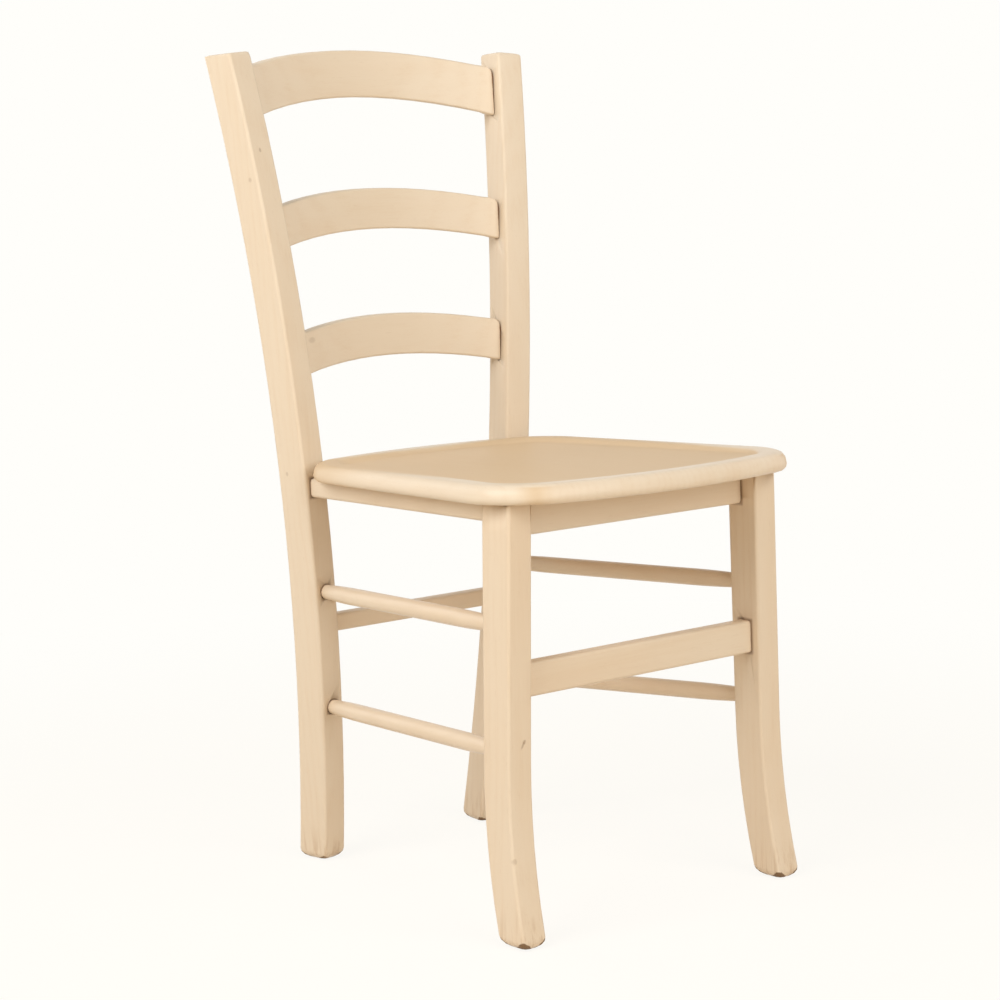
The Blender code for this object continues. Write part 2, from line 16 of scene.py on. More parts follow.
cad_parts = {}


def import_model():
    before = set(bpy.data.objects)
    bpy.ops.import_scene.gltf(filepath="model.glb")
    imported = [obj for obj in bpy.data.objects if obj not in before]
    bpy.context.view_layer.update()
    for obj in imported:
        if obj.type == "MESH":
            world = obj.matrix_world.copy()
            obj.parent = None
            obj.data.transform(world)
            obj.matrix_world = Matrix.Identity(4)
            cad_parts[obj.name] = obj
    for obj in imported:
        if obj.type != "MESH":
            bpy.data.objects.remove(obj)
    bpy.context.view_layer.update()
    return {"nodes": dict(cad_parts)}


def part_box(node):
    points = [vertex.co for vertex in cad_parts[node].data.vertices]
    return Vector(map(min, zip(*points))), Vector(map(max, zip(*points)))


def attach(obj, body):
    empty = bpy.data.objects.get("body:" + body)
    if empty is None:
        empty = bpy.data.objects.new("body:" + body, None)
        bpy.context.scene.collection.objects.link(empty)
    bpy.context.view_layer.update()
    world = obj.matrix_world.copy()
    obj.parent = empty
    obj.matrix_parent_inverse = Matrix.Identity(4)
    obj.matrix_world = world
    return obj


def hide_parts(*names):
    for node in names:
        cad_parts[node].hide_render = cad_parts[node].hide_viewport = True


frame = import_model()
NODES = frame["nodes"]

# Points of a node's mesh that lie this close are one point
MERGE = 1e-5

# Camera, as read from the photo
CAMERA_PLACE = Vector((-1.8580, -2.1444, 0.7884))
CAMERA_HEADING = math.radians(40.67)
CAMERA_DIP = math.radians(7.695)
CAMERA_ROLL = math.radians(-1.312)
CAMERA_LENS = 96.8
SENSOR_WIDTH = 36

# Colours, as linear red, green and blue
BACKDROP = (1.0, 0.991, 0.957, 1)
FLOOR = (0.80, 0.71, 0.59, 1)
PALE_WOOD = (0.800, 0.685, 0.535, 1)
WARM_WOOD = (0.770, 0.622, 0.455, 1)
LATEWOOD = (0.695, 0.525, 0.350, 1)
# Painted shade: the darker colour of the seat's dished field, for the weaker light on its upward-facing
# surface
SHADED_FIELD_WOOD = (0.690, 0.510, 0.315, 1)
FLECK = (0.46, 0.28, 0.14, 1)
# Painted shade: the dark brown of the feet's undersides, where they face the floor
FOOT_UNDERSIDE_SHADE = (0.20, 0.115, 0.055, 1)
# Brown staining in the joints, together with painted crevice shade where the parts meet
JOINT_STAIN_AND_SHADE = (0.170, 0.068, 0.024, 1)
KNOT = (0.26, 0.145, 0.07, 1)
RAW_WOOD = (0.60, 0.42, 0.25, 1)
STEEL = (0.62, 0.61, 0.58, 1)
DULL_STEEL = (0.42, 0.41, 0.37, 1)

# How warm the wood of each kind of piece is, from 0 to 1. The slats and posts are painted paler than the
# rest: painted light, for the stronger light that falls on them.
PAINTED_LIGHT_WARMTH = {"slat": 0.10, "post": 0.22}
PLAIN_WARMTH = 0.42

# Light: the lamps' colours, and the colour and level of the room's even light
KEY_LIGHT = (1.0, 1.0, 1.0)
FILL_LIGHT = (1.0, 0.99, 0.97)
EVEN_LIGHT = (1.0, 0.86, 0.70, 1)
EVEN_LEVEL = 0.30

# Lamps: where each stands, its width, its power and its colour. All look at the middle of the chair.
LAMPS = {
    "side_softbox": ((-2.90, -0.25, 2.35), 2.4, 84, KEY_LIGHT),
    "front_softbox": ((0.15, -3.20, 1.90), 2.6, 60, FILL_LIGHT),
    "back_softbox": ((-0.80, 3.30, 1.60), 2.4, 22, FILL_LIGHT),
    "right_softbox": ((3.30, -0.40, 1.40), 2.4, 18, FILL_LIGHT),
}
LAMP_AIM = Vector((0, 0, 0.45))

# Floor: its radius and sides, the gap under the feet, its roughness, where its lit share fades out, how large
# that share is, and the level of its plain share
FLOOR_RADIUS = 9.0
FLOOR_SIDES = 96
FLOOR_GAP = 0.0002
FLOOR_ROUGHNESS = 0.9
FLOOR_FADE = (0.45, 1.7)
FLOOR_LIT = 0.14
FLOOR_LEVEL = 1.05

# Turns that lay the grain along an axis, and the kinds of piece whose grain isn't along X
ALONG_X = (0, 0, 0)
ALONG_Y = (0, 0, math.radians(-90))
UP_Z = (0, math.radians(90), 0)
GRAIN = {"leg": UP_Z, "post": UP_Z, "side_stretcher": ALONG_Y, "side_rail": ALONG_Y, "seat": ALONG_Y}

# Patterns in the wood: the stretch along and across the grain, then scale, detail and roughness
BOARDS = ((1.5, 12, 12), 1.6, 2.0, 0.5)
STREAKS = ((5, 110, 110), 1.8, 5.0, 0.62)
FIBRES = ((26, 900, 900), 1.0, 3.0, 0.6)
PORES = ((75, 1500, 1500), 1.0, 2.0, 0.5)
SAWN_STREAKS = ((8, 150, 150), 1.5, 5.0, 0.6)
SAW_MARKS = ((900, 6, 6), 1.0, 2.0, 0.5)
NOISE_MIDDLE = 0.5

# Growth rings: their stretch, how close they lie, how far they wander and how finely
RING_STRETCH = (0.25, 1, 0.7)
RING_SCALE = 34.0
RING_WANDER = 7.0
RING_DETAIL = 2.0
RING_DETAIL_SCALE = 0.6

# How far the patterns shift along each axis from one piece to the next
WOOD_DRIFT = (1.37, 0.71, 2.13)
BLOCK_DRIFT = (0.9, 1.7, 0.4)

# How much each pattern counts in the lacquered wood's colour
BOARD_CONTRAST = 1.6
RING_COLOUR = 0.22
STREAK_COLOUR = 0.85
FIBRE_COLOUR = 0.5
GRAIN_RANGE = (-0.05, 1.35)
FLECK_RANGE = (0.655, 0.74)
FLECK_COLOUR = 0.16
# How much of the painted shade colours the seat's dished field
FIELD_SHADE_COLOUR = 0.8

# How rough the lacquer is, and what each pattern adds to that
LACQUER_ROUGHNESS = 0.38
STREAK_ROUGHNESS = 0.10
FLECK_ROUGHNESS = 0.10
RUBBED_ROUGHNESS = 0.15
FOOT_UNDERSIDE_ROUGHNESS = 0.4

# Relief: what each pattern adds, how deep it is, and how strongly it shows
STREAK_RELIEF = 0.5
FIBRE_RELIEF = 0.35
FLECK_RELIEF = 0.35
RELIEF_DEPTH = 0.0004
LACQUER_RELIEF = 0.08
SAWN_RELIEF = 0.3

# How strongly the lacquer shines: on plain pieces, on the turned stretchers and on the seat's rim. The seat's
# field loses most of its shine.
PLAIN_POLISH = 0.08
STRETCHER_POLISH = 0.30
SEAT_POLISH = 0.24
RUBBED_DULLNESS = 0.9
COAT_ROUGHNESS = 0.20
LACQUER_SPECULAR = 0.12

# Sawn wood: what each pattern adds to its colour and relief, and its roughness
SAWN_COLOUR = (0.9, 0.2)
SAWN_RANGE = (0.25, 0.95)
SAWN_HEIGHT = (0.4, 0.6)
SAWN_ROUGHNESS = (0.62, 0.2)

# Steel: the scale and detail of its mottling, where that turns dull, and its roughness
MOTTLE = (900.0, 3.0)
DULL_RANGE = (0.4, 0.75)
STEEL_ROUGHNESS = (0.28, 0.2)

# Dark marks in the wood: the side of the chair that a mark looks to, where it lies, its half length and half
# width, its lean, and how dark it is
MARKS = {
    "front_leg_left": [
        ("front", (-0.1727, -0.2091, 0.2001), 0.0060, 0.0017, -0.55, 0.44),
        ("front", (-0.1712, -0.2091, 0.2026), 0.0030, 0.0026, -0.3, 0.36),
        ("front", (-0.1913, -0.2147, 0.0876), 0.0036, 0.0030, 0.0, 0.26),
    ],
    "back_post_left": [
        ("front", (-0.1800, 0.1836, 0.7801), 0.0030, 0.0020, 0.2, 0.40),
        ("side", (-0.1914, 0.1875, 0.7490), 0.0030, 0.0030, -0.3, 0.26),
        ("side", (-0.1644, 0.1763, 0.4348), 0.0030, 0.0022, 0.0, 0.26),
    ],
    "lower_slat": [("front", (-0.1202, 0.1830, 0.5756), 0.0040, 0.0070, 0.0, 0.22)],
}

# A mark's edge is rippled and soft, and the mark reaches further into the wood than it is long
MARK_INWARD = 0.3
MARK_RIPPLE_SCALE = 700.0
MARK_RIPPLE = 0.5
MARK_EDGE = (0.65, 1.35)

# The seat's dished field lies this far below its rim, which is about this wide
SEAT_DISHED = 0.0036
SEAT_RIM = 0.036

# Brown staining with painted crevice shade that lines the joints, as shares of its colour. It shows most
# where the slats meet the posts.
SLAT_STAIN_AND_SHADE = 0.85
LEG_TOP_STAIN_AND_SHADE = 0.60
RAIL_STAIN_AND_SHADE = 0.60
AROUND_STAIN_AND_SHADE = 0.55
HALO_SHADE = 0.5
AROUND_HALO_SHADE = 0.10

# The line of staining and painted crevice shade has one width on a member and a larger spread on the leg or
# post around it. The line on a member is ragged with a soft edge. Both have a fainter halo of painted shade
# that reaches this many times as far.
STAIN_AND_SHADE_WIDTH = 0.0011
STAIN_AND_SHADE_SPREAD = 0.0036
STAIN_AND_SHADE_RAGGED = 0.0012
RAGGED_NOISE = (170.0, 4.0, 0.6)
LINE_EDGE = (0.6, 1.4)
HALO_REACH = 5

# Edges sharper than this stay crisp, in degrees: on lacquered wood, and on sawn wood and screws
SOFT_ANGLE = 50
CRISP_ANGLE = 30

# A shoulder lies between these depths behind the tip of its tenon, and the tip's own faces lie less deep.
# End faces look at least this nearly along the member.
TENON_LENGTHS = (0.0065, 0.025)
TIP_DEPTH = 0.006
FACING = 0.9

# A socket is looked for along a line this far above the stretcher's middle
SOCKET_CLEARANCE = 0.013

# A foot is what lies below this height. Painted shade, where the foot's underside faces the floor, reaches
# nearly as high at its corners.
FOOT_HEIGHT = 0.012
FOOT_SHADE_HEIGHT = 0.0105
FOOT_SHADE_RIPPLE_SCALE = 300.0
FOOT_SHADE_RIPPLE = 0.003
FOOT_SHADE_EDGE = 0.0006
FOOT_SHADE_COLOUR = 0.92

# Scuffs fade out between these heights and follow the darker streaks
SCUFFED = (0.012, 0.060)
SCUFF_WAVER = 0.02
SCUFFED_STREAKS = (0.47, 0.64)
SCUFF_COLOUR = 0.36


class Number:
    """A number that changes over a surface. Sums and products of it add Math nodes."""

    def __init__(self, finish, socket):
        self.finish = finish
        self.socket = socket

    def join(self, operation, first, second=0.0):
        return self.finish.node("ShaderNodeMath", {"operation": operation}, {0: first, 1: second})

    def __add__(self, other):
        return self.join("ADD", self, other)

    def __sub__(self, other):
        return self.join("SUBTRACT", self, other)

    def __mul__(self, other):
        return self.join("MULTIPLY", self, other)

    def __truediv__(self, other):
        return self.join("DIVIDE", self, other)

    def __radd__(self, other):
        return self.join("ADD", other, self)

    def __rsub__(self, other):
        return self.join("SUBTRACT", other, self)

    def __rmul__(self, other):
        return self.join("MULTIPLY", other, self)

    def __rtruediv__(self, other):
        return self.join("DIVIDE", other, self)

    def over(self, start, end):
        """How far the number has come from start to end, eased, from 0 to 1."""
        inputs = {"Value": self, "From Min": start, "From Max": end}
        return self.finish.node("ShaderNodeMapRange", {"interpolation_type": "SMOOTHSTEP"}, inputs)

    def swing(self, amount):
        """How far a noise is from its middle, times an amount."""
        return (self - NOISE_MIDDLE) * amount

    def most(self, other):
        return self.join("MAXIMUM", self, other)

    def size(self):
        return self.join("ABSOLUTE", self)


class Finish:
    """A material under construction."""

    def __init__(self, name):
        self.material = bpy.data.materials.new(name)
        self.material.use_nodes = True
        self.tree = self.material.node_tree
        self.shader = self.tree.nodes["Principled BSDF"]
        self.out = self.tree.nodes["Material Output"]

    def node(self, kind, settings=None, inputs=None, output=0):
        """Adds a node, sets it up, fills or links its sockets, and returns one of its outputs."""
        made = self.tree.nodes.new(kind)
        for key, value in (settings or {}).items():
            setattr(made, key, value)
        for key, value in (inputs or {}).items():
            self.feed(made.inputs[key], value)
        return Number(self, made.outputs[output])

    def feed(self, socket, value):
        if isinstance(value, Number):
            self.tree.links.new(value.socket, socket)
        else:
            socket.default_value = value

    def blend(self, first, second, share):
        """One colour laid over another by a share."""
        settings = {"data_type": "RGBA"}
        return self.node("ShaderNodeMix", settings, {"Factor": share, 6: first, 7: second}, output=2)

    def place(self):
        return self.node("ShaderNodeTexCoord", output="Object")

    def laid(self, turn, stretch, shift=(0, 0, 0)):
        """Object coordinates turned and shifted, then stretched along each axis."""
        inputs = {"Vector": self.place(), "Rotation": turn, "Location": shift}
        turned = self.node("ShaderNodeMapping", {}, inputs)
        return self.node("ShaderNodeMapping", {}, {"Vector": turned, "Scale": stretch})

    def noise(self, where, scale, detail=3.0, roughness=0.5):
        inputs = {"Vector": where, "Scale": scale, "Detail": detail, "Roughness": roughness}
        return self.node("ShaderNodeTexNoise", {}, inputs)

    def grained(self, pattern, turn, drift):
        """One of the patterns in the wood, drawn out along the grain."""
        stretch, scale, detail, roughness = pattern
        return self.noise(self.laid(turn, stretch, drift), scale, detail, roughness)

    def relief(self, height, strength):
        """A slightly uneven surface."""
        inputs = {"Strength": strength, "Distance": RELIEF_DEPTH, "Height": height}
        return self.node("ShaderNodeBump", {}, inputs, output="Normal")

    def axis(self, where, name):
        return self.node("ShaderNodeSeparateXYZ", {}, {0: where}, output=name)

    def away_from(self, point):
        return self.node("ShaderNodeVectorMath", {"operation": "SUBTRACT"}, {0: self.place(), 1: point})

    def length(self, vector):
        return self.node("ShaderNodeVectorMath", {"operation": "LENGTH"}, {0: vector}, output="Value")

    def beyond(self, plane):
        """How far a point lies past a plane, along the plane's normal."""
        point, normal = plane
        inputs = {0: self.away_from(point), 1: normal}
        return self.node("ShaderNodeVectorMath", {"operation": "DOT_PRODUCT"}, inputs, output="Value")

    def outside(self, corners):
        """How far a point lies outside a box."""
        low, high = corners
        from_middle = self.away_from((low + high) / 2)
        away = self.node("ShaderNodeVectorMath", {"operation": "ABSOLUTE"}, {0: from_middle})
        past = self.node("ShaderNodeVectorMath", {"operation": "SUBTRACT"}, {0: away, 1: (high - low) / 2})
        return self.length(self.node("ShaderNodeVectorMath", {"operation": "MAXIMUM"}, {0: past}))

    def ray(self, kind):
        return self.node("ShaderNodeLightPath", output=kind)

    def surface(self, **values):
        for key, value in values.items():
            self.feed(self.shader.inputs[key.replace("_", " ")], value)
        return self.material


def mark_share(finish, mark):
    """How much of a small leaning oval mark shows at a point."""
    side, place, half_length, half_width, lean, depth = mark
    along, across, inward = 1 / half_length, 1 / half_width, MARK_INWARD / half_length
    turn = (0, lean, 0) if side == "front" else (lean, 0, 0)
    size = (across, inward, along) if side == "front" else (inward, across, along)
    turned = finish.node("ShaderNodeMapping", {}, {"Vector": finish.away_from(place), "Rotation": turn})
    shaped = finish.node("ShaderNodeMapping", {}, {"Vector": turned, "Scale": size})
    ripple = finish.noise(finish.place(), MARK_RIPPLE_SCALE) * MARK_RIPPLE
    return (1 - (finish.length(shaped) + ripple).over(*MARK_EDGE)) * depth


def foot_shade_share(finish, foot):
    """How much painted shade, standing for the foot's underside facing the floor, shows at a foot. It reaches
    highest up the foot's corners.
    """
    low, high = foot
    place = finish.place()
    corner = 1.0
    for index, axis in enumerate("XY"):
        middle = (low[index] + high[index]) / 2
        half = (high[index] - low[index]) / 2
        corner = (finish.axis(place, axis) - middle).size() / half * corner
    ragged = finish.noise(place, FOOT_SHADE_RIPPLE_SCALE).swing(FOOT_SHADE_RIPPLE)
    return 1 - (finish.axis(place, "Z") - corner * FOOT_SHADE_HEIGHT + ragged).over(-FOOT_SHADE_EDGE, FOOT_SHADE_EDGE)


def scuffed_share(finish, streaks):
    """How scuffed the wood is: most of all low down, along its darker streaks."""
    low = 1 - (finish.axis(finish.place(), "Z") + streaks * SCUFF_WAVER).over(*SCUFFED)
    return low * streaks.over(*SCUFFED_STREAKS)


def rubbed_and_shaded_share(finish, seat):
    """How far a point of the seat lies in its dished field, where the lacquer is worn dull and its colour is
    painted darker as shade.
    """
    low, high = seat
    place = finish.place()
    field = 1 - finish.axis(place, "Z").over(high.z - SEAT_DISHED, high.z - SEAT_DISHED / 2)
    across = 1 - finish.axis(place, "X").size().over(high.x - SEAT_RIM, high.x - SEAT_RIM / 2)
    front = finish.axis(place, "Y").over(low.y + SEAT_RIM / 2, low.y + SEAT_RIM)
    rear = 1 - finish.axis(place, "Y").over(high.y - SEAT_RIM, high.y - SEAT_RIM / 2)
    return field * across * front * rear


def growth_rings(finish, turn, drift):
    """Wandering bands, as growth rings show on wood that is cut lengthwise."""
    settings = {"wave_type": "BANDS", "bands_direction": "Y", "wave_profile": "SIN"}
    inputs = {
        "Vector": finish.laid(turn, RING_STRETCH, drift),
        "Scale": RING_SCALE,
        "Distortion": RING_WANDER,
        "Detail": RING_DETAIL,
        "Detail Scale": RING_DETAIL_SCALE,
    }
    return finish.node("ShaderNodeTexWave", settings, inputs, output="Fac")


def stained_and_shaded_edges(finish, colour, planes, stain):
    """Lines a piece with brown staining and painted crevice shade where it goes into its neighbours, inside a
    halo of painted shade.
    """
    ragged = finish.noise(finish.place(), *RAGGED_NOISE).swing(STAIN_AND_SHADE_RAGGED)
    for plane in planes:
        inside = ragged - finish.beyond(plane)
        halo = 1 - inside.over(0.0, STAIN_AND_SHADE_WIDTH * HALO_REACH)
        line = 1 - inside.over(*(STAIN_AND_SHADE_WIDTH * edge for edge in LINE_EDGE))
        colour = finish.blend(colour, LATEWOOD, halo * stain * HALO_SHADE)
        colour = finish.blend(colour, JOINT_STAIN_AND_SHADE, line * stain)
    return colour


def stained_and_shaded_around(finish, colour, around):
    """Stains a leg or post around each member that goes into it, with painted crevice shade and a halo of
    painted shade.
    """
    for outline, radius in around:
        away = finish.outside(outline) - radius
        halo = 1 - away.over(0.0, STAIN_AND_SHADE_SPREAD * HALO_REACH)
        line = 1 - away.over(0.0, STAIN_AND_SHADE_SPREAD)
        colour = finish.blend(colour, FLECK, halo * AROUND_HALO_SHADE)
        colour = finish.blend(colour, JOINT_STAIN_AND_SHADE, line * AROUND_STAIN_AND_SHADE)
    return colour


def lacquered_wood(
    name,
    turn,
    seed,
    warmth=PLAIN_WARMTH,
    polish=PLAIN_POLISH,
    marks=(),
    joints=(),
    stain=0.0,
    around=(),
    foot=None,
    seat=None,
):
    """Pale close-grained wood under satin lacquer, its grain along X until it is turned."""
    finish = Finish(name)
    drift = tuple(seed * step for step in WOOD_DRIFT)
    boards = finish.grained(BOARDS, turn, drift)
    streaks = finish.grained(STREAKS, turn, drift)
    fibres = finish.grained(FIBRES, turn, drift)
    flecks = finish.grained(PORES, turn, drift).over(*FLECK_RANGE)
    rings = growth_rings(finish, turn, drift)
    rubbed_and_shaded = rubbed_and_shaded_share(finish, seat) if seat else 0.0

    grain = rings * RING_COLOUR + streaks.swing(STREAK_COLOUR) + fibres.swing(FIBRE_COLOUR)
    colour = finish.blend(PALE_WOOD, WARM_WOOD, (boards.swing(BOARD_CONTRAST) + warmth).over(0.0, 1.0))
    # Painted shade: the seat's dished field is coloured darker, for the weaker light on it
    colour = finish.blend(colour, SHADED_FIELD_WOOD, rubbed_and_shaded * FIELD_SHADE_COLOUR)
    colour = finish.blend(colour, LATEWOOD, grain.over(*GRAIN_RANGE))
    colour = finish.blend(colour, FLECK, flecks * FLECK_COLOUR)
    for mark in marks:
        colour = finish.blend(colour, KNOT, mark_share(finish, mark))
    # Brown staining and painted crevice shade where the piece meets its neighbours, and painted shade around
    # those on legs and posts
    if joints:
        colour = stained_and_shaded_edges(finish, colour, joints, stain)
    colour = stained_and_shaded_around(finish, colour, around)

    rough = LACQUER_ROUGHNESS + streaks.swing(STREAK_ROUGHNESS) + flecks * FLECK_ROUGHNESS
    rough = rough + rubbed_and_shaded * RUBBED_ROUGHNESS
    if foot:
        foot_shade = foot_shade_share(finish, foot)
        colour = finish.blend(colour, FLECK, scuffed_share(finish, streaks) * SCUFF_COLOUR)
        # Painted shade: dark brown low on the foot, where its underside faces the floor
        colour = finish.blend(colour, FOOT_UNDERSIDE_SHADE, foot_shade * FOOT_SHADE_COLOUR)
        rough = rough + foot_shade * FOOT_UNDERSIDE_ROUGHNESS

    height = streaks.swing(STREAK_RELIEF) + fibres.swing(FIBRE_RELIEF) - flecks * FLECK_RELIEF
    return finish.surface(
        Base_Color=colour,
        Roughness=rough,
        Coat_Weight=polish * (1 - rubbed_and_shaded * RUBBED_DULLNESS),
        Coat_Roughness=COAT_ROUGHNESS,
        Specular_IOR_Level=LACQUER_SPECULAR,
        Normal=finish.relief(height, LACQUER_RELIEF),
    )


def raw_wood(name, turn, seed):
    """Sawn wood with no lacquer."""
    finish = Finish(name)
    drift = tuple(seed * step for step in BLOCK_DRIFT)
    streaks = finish.grained(SAWN_STREAKS, turn, drift)
    saw = finish.grained(SAW_MARKS, turn, drift)
    darker = streaks * SAWN_COLOUR[0] + saw * SAWN_COLOUR[1]
    height = streaks * SAWN_HEIGHT[0] + saw * SAWN_HEIGHT[1]
    return finish.surface(
        Base_Color=finish.blend(RAW_WOOD, LATEWOOD, darker.over(*SAWN_RANGE)),
        Roughness=SAWN_ROUGHNESS[0] + streaks * SAWN_ROUGHNESS[1],
        Normal=finish.relief(height, SAWN_RELIEF),
    )


def screw_steel(name):
    """Plain steel, slightly mottled."""
    finish = Finish(name)
    mottle = finish.noise(finish.place(), *MOTTLE)
    return finish.surface(
        Base_Color=finish.blend(STEEL, DULL_STEEL, mottle.over(*DULL_RANGE)),
        Metallic=1.0,
        Roughness=STEEL_ROUGHNESS[0] + mottle * STEEL_ROUGHNESS[1],
    )


def merged(node_name):
    """A bmesh of a CAD node's own shape with its loose triangles joined."""
    bm = bmesh.new()
    bm.from_mesh(NODES[node_name].data)
    bmesh.ops.remove_doubles(bm, verts=bm.verts, dist=MERGE)
    return bm


def shown(name, bm, material, sharp_angle):
    """Turns a finished bmesh into a piece that rides with the chair."""
    mesh = bpy.data.meshes.new(name)
    bm.to_mesh(mesh)
    bm.free()
    mesh.materials.append(material)
    mesh.shade_smooth()
    mesh.set_sharp_from_angle(angle=math.radians(sharp_angle))
    piece = bpy.data.objects.new(name, mesh)
    bpy.context.scene.collection.objects.link(piece)
    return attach(piece, "root")


def dressed(node_name, material, sharp_angle):
    """The node's own shape, softly shaded, shown in the node's place."""
    piece = shown(node_name + "_finished", merged(node_name), material, sharp_angle)
    even = piece.modifiers.new("even shading", "WEIGHTED_NORMAL")
    even.keep_sharp = True
    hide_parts(node_name)


def end_faces(bm, way, nearest, furthest):
    """A member's faces that look one way and lie within a range behind its tip."""
    facing = [face for face in bm.faces if face.normal.dot(way) > FACING]
    reaches = [face.calc_center_median().dot(way) for face in facing]
    tip = max(reaches)
    return [face for face, reach in zip(facing, reaches) if nearest <= tip - reach <= furthest]


def mean_plane(faces):
    """The plane that some faces share, each face counting by its area."""
    area = sum(face.calc_area() for face in faces)
    point = sum((face.calc_center_median() * face.calc_area() for face in faces), Vector()) / area
    normal = sum((face.normal * face.calc_area() for face in faces), Vector())
    return point, normal.normalized()


def corners_of(places):
    """The lowest and highest corners around some points."""
    return tuple(Vector(pick(place[axis] for place in places) for axis in range(3)) for pick in (min, max))


def corners_around(faces):
    """The lowest and highest corners around some faces."""
    return corners_of([vertex.co for face in faces for vertex in face.verts])


def neighbours(node_name):
    """The legs or posts that a member runs between, each with the way its end looks."""
    if "side" in node_name:
        side = node_name.split("_")[-1]
        return [("front_leg_" + side, Vector((0, -1, 0))), ("back_post_" + side, Vector((0, 1, 0)))]
    upright = "front_leg_" if node_name.startswith("front") else "back_post_"
    return [(upright + "left", Vector((-1, 0, 0))), (upright + "right", Vector((1, 0, 0)))]


def tenoned_joints(node_name):
    """For each end of a tenoned member: its neighbour, the shoulder's plane, the box around it, no radius."""
    bm = merged(node_name)
    joints = []
    for neighbour, way in neighbours(node_name):
        faces = end_faces(bm, way, *TENON_LENGTHS)
        joints.append((neighbour, mean_plane(faces), corners_around(faces), 0.0))
    bm.free()
    return joints


def turned_joints(node_name):
    """For each end of a turned stretcher: its neighbour, the plane it enters, the place, the end's radius."""
    bm = merged(node_name)
    tips = []
    for neighbour, way in neighbours(node_name):
        tips.append((neighbour, *corners_around(end_faces(bm, way, 0, TIP_DEPTH))))
    bm.free()
    middle = sum((low + high for neighbour, low, high in tips), Vector()) / 4
    joints = []
    for neighbour, low, high in tips:
        along = ((low + high) / 2 - middle).normalized()
        bm = merged(neighbour)
        upright = BVHTree.FromBMesh(bm)
        point, normal, _, _ = upright.ray_cast(middle + Vector((0, 0, SOCKET_CLEARANCE)), along)
        bm.free()
        mouth = middle + along * (point - middle).dot(normal) / along.dot(normal)
        joints.append((neighbour, (point, -normal), (mouth, mouth), (high.z - low.z) / 2))
    return joints


def leg_top(node_name):
    """The plane in which a front leg meets the seat."""
    bm = merged(node_name)
    plane = mean_plane(end_faces(bm, Vector((0, 0, 1)), 0, TIP_DEPTH))
    bm.free()
    return plane


def foot_box(node_name):
    """The lowest and highest corners of a leg's or post's foot."""
    return corners_of([vertex.co for vertex in NODES[node_name].data.vertices if vertex.co.z < FOOT_HEIGHT])


def kind_of(node_name):
    """What kind of piece a node is. Cross rails are the flat members that run from side to side."""
    for kind in ("screw", "block", "slat", "seat", "leg", "post", "side_stretcher", "side_rail"):
        if kind in node_name:
            return kind
    return "cross_rail"


def joints_of(node_name):
    """A member's joints with its neighbours. Other pieces have none."""
    kind = kind_of(node_name)
    if kind == "side_stretcher":
        return turned_joints(node_name)
    if kind in ("slat", "side_rail", "cross_rail"):
        return tenoned_joints(node_name)
    return []


def stained_and_shaded_places():
    """For each leg and post, the places where rails and stretchers go into it. Slats leave no staining or
    painted shade there.
    """
    around = {node_name: [] for node_name in NODES}
    for node_name in sorted(NODES):
        if kind_of(node_name) != "slat":
            for neighbour, _, outline, radius in joints_of(node_name):
                around[neighbour].append((outline, radius))
    return around


def dress_wood():
    """Gives each wooden node its own piece of wood, with what its joints and feet need."""
    around = stained_and_shaded_places()
    for seed, node_name in enumerate(sorted(NODES)):
        kind = kind_of(node_name)
        grain = GRAIN.get(kind, ALONG_X)
        if kind == "screw":
            continue
        if kind == "block":
            dressed(node_name, raw_wood(node_name + "_wood", grain, seed), CRISP_ANGLE)
            continue
        # Slats and posts get a paler tone: painted light
        details = {"marks": MARKS.get(node_name, ()), "warmth": PAINTED_LIGHT_WARMTH.get(kind, PLAIN_WARMTH)}
        details["joints"] = [plane for _, plane, _, _ in joints_of(node_name)]
        details["stain"] = SLAT_STAIN_AND_SHADE if kind == "slat" else RAIL_STAIN_AND_SHADE
        if kind == "side_stretcher":
            details["polish"] = STRETCHER_POLISH
        if kind in ("leg", "post"):
            details.update(foot=foot_box(node_name), around=around[node_name])
        # A front leg's top is lined with staining and painted crevice shade where it meets the seat
        if kind == "leg":
            details.update(joints=[leg_top(node_name)], stain=LEG_TOP_STAIN_AND_SHADE)
        if kind == "seat":
            details.update(seat=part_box(node_name), polish=SEAT_POLISH)
        material = lacquered_wood(node_name + "_wood", grain, seed, **details)
        dressed(node_name, material, SOFT_ANGLE)


def dress_screws():
    """Gives the screws one steel between them."""
    steel = screw_steel("screw_steel_finish")
    for node_name in sorted(NODES):
        if "screw" in node_name:
            dressed(node_name, steel, CRISP_ANGLE)


def floor():
    """A pale floor that shows some of the lamps' light, and so the shadow, near the chair but not far off."""
    bm = bmesh.new()
    bmesh.ops.create_circle(bm, cap_ends=True, radius=FLOOR_RADIUS, segments=FLOOR_SIDES)
    mesh = bpy.data.meshes.new("floor")
    bm.to_mesh(mesh)
    bm.free()
    finish = Finish("floor_finish")
    finish.surface(Base_Color=FLOOR, Roughness=FLOOR_ROUGHNESS, Specular_IOR_Level=0.0)
    mirrored = finish.ray("Is Glossy Ray").most(finish.ray("Is Transmission Ray"))
    seen = finish.ray("Is Camera Ray").most(mirrored)
    near = 1 - finish.length(finish.place()).over(*FLOOR_FADE)
    plain = finish.node("ShaderNodeEmission", {}, {"Color": BACKDROP, "Strength": 1.0})
    level = finish.node("ShaderNodeEmission", {}, {"Color": BACKDROP, "Strength": FLOOR_LEVEL})
    lit = Number(finish, finish.shader.outputs[0])
    close = finish.node("ShaderNodeMixShader", {}, {0: FLOOR_LIT, 1: level, 2: lit})
    shown_floor = finish.node("ShaderNodeMixShader", {}, {0: near, 1: plain, 2: close})
    both = finish.node("ShaderNodeMixShader", {}, {0: seen, 1: lit, 2: shown_floor})
    finish.feed(finish.out.inputs["Surface"], both)
    mesh.materials.append(finish.material)
    plane = bpy.data.objects.new("floor", mesh)
    plane.location.z = -FLOOR_GAP
    bpy.context.scene.collection.objects.link(plane)


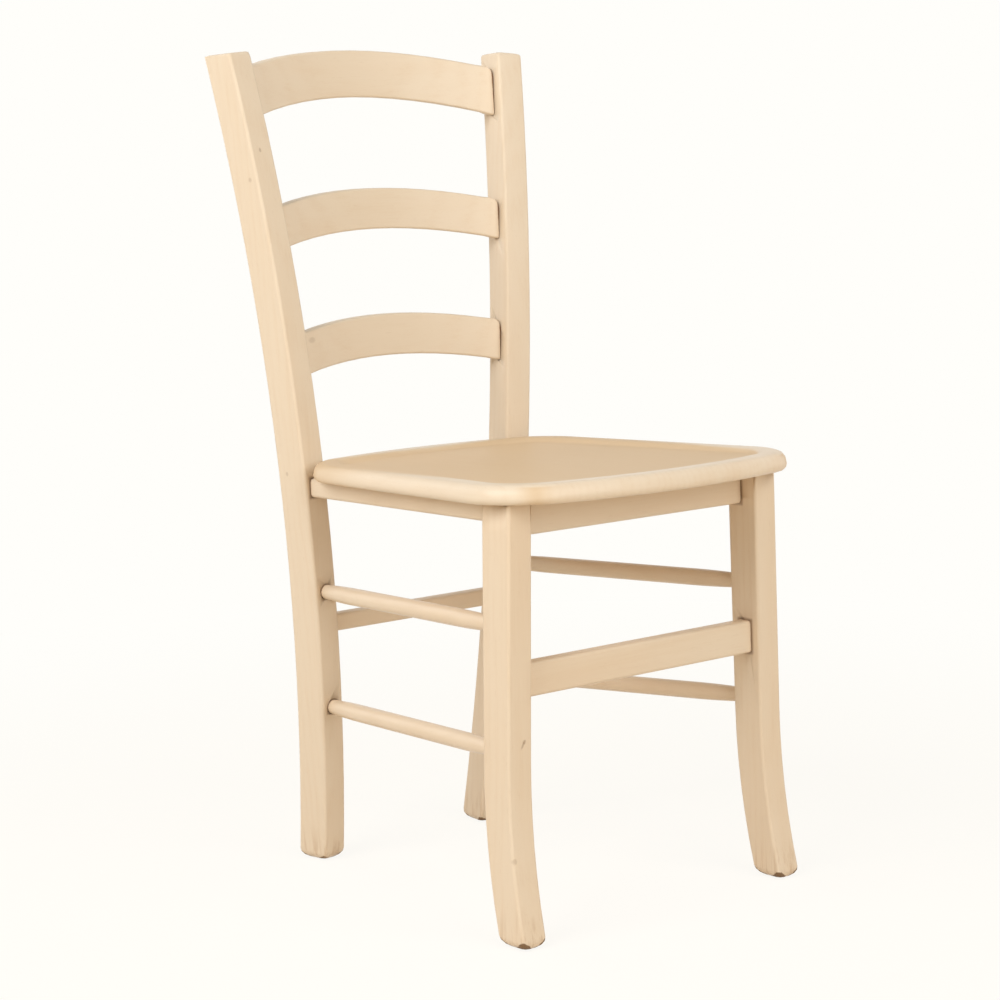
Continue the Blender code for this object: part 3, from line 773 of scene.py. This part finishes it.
def world():
    """Even light for the chair, and a plain pale backdrop for the camera and for reflections."""
    sky = bpy.data.worlds.new("studio")
    bpy.context.scene.world = sky
    sky.use_nodes = True
    tree = sky.node_tree
    paths = tree.nodes.new("ShaderNodeLightPath")
    seen = paths.outputs["Is Camera Ray"]
    for kind in ("Is Glossy Ray", "Is Transmission Ray"):
        either = tree.nodes.new("ShaderNodeMath")
        either.operation = "MAXIMUM"
        tree.links.new(seen, either.inputs[0])
        tree.links.new(paths.outputs[kind], either.inputs[1])
        seen = either.outputs[0]
    even = tree.nodes["Background"]
    even.inputs["Color"].default_value = EVEN_LIGHT
    even.inputs["Strength"].default_value = EVEN_LEVEL
    white = tree.nodes.new("ShaderNodeBackground")
    white.inputs["Color"].default_value = BACKDROP
    white.inputs["Strength"].default_value = 1.0
    mix = tree.nodes.new("ShaderNodeMixShader")
    tree.links.new(seen, mix.inputs[0])
    tree.links.new(even.outputs[0], mix.inputs[1])
    tree.links.new(white.outputs[0], mix.inputs[2])
    tree.links.new(mix.outputs[0], tree.nodes["World Output"].inputs["Surface"])


def softbox(name, place, width, power, colour):
    """A square lamp that the camera doesn't see."""
    lamp = bpy.data.lights.new(name, "AREA")
    lamp.shape = "SQUARE"
    lamp.size = width
    lamp.energy = power
    lamp.color = colour
    holder = bpy.data.objects.new(name, lamp)
    holder.location = place
    holder.visible_camera = False
    holder.rotation_euler = (LAMP_AIM - Vector(place)).to_track_quat("-Z", "Y").to_euler()
    bpy.context.scene.collection.objects.link(holder)


def camera():
    """The camera at the photo's viewing angle."""
    lens = bpy.data.cameras.new("photo_view")
    lens.lens = CAMERA_LENS
    lens.sensor_width = SENSOR_WIDTH
    holder = bpy.data.objects.new("photo_view", lens)
    turn = (
        Matrix.Rotation(-CAMERA_HEADING, 4, "Z")
        @ Matrix.Rotation(math.pi / 2 - CAMERA_DIP, 4, "X")
        @ Matrix.Rotation(CAMERA_ROLL, 4, "Z")
    )
    holder.matrix_world = Matrix.Translation(CAMERA_PLACE) @ turn
    bpy.context.scene.collection.objects.link(holder)
    bpy.context.scene.camera = holder


dress_wood()
dress_screws()
floor()
world()
for lamp_name, settings in LAMPS.items():
    softbox(lamp_name, *settings)
camera()

bpy.context.scene.view_settings.view_transform = "Standard"
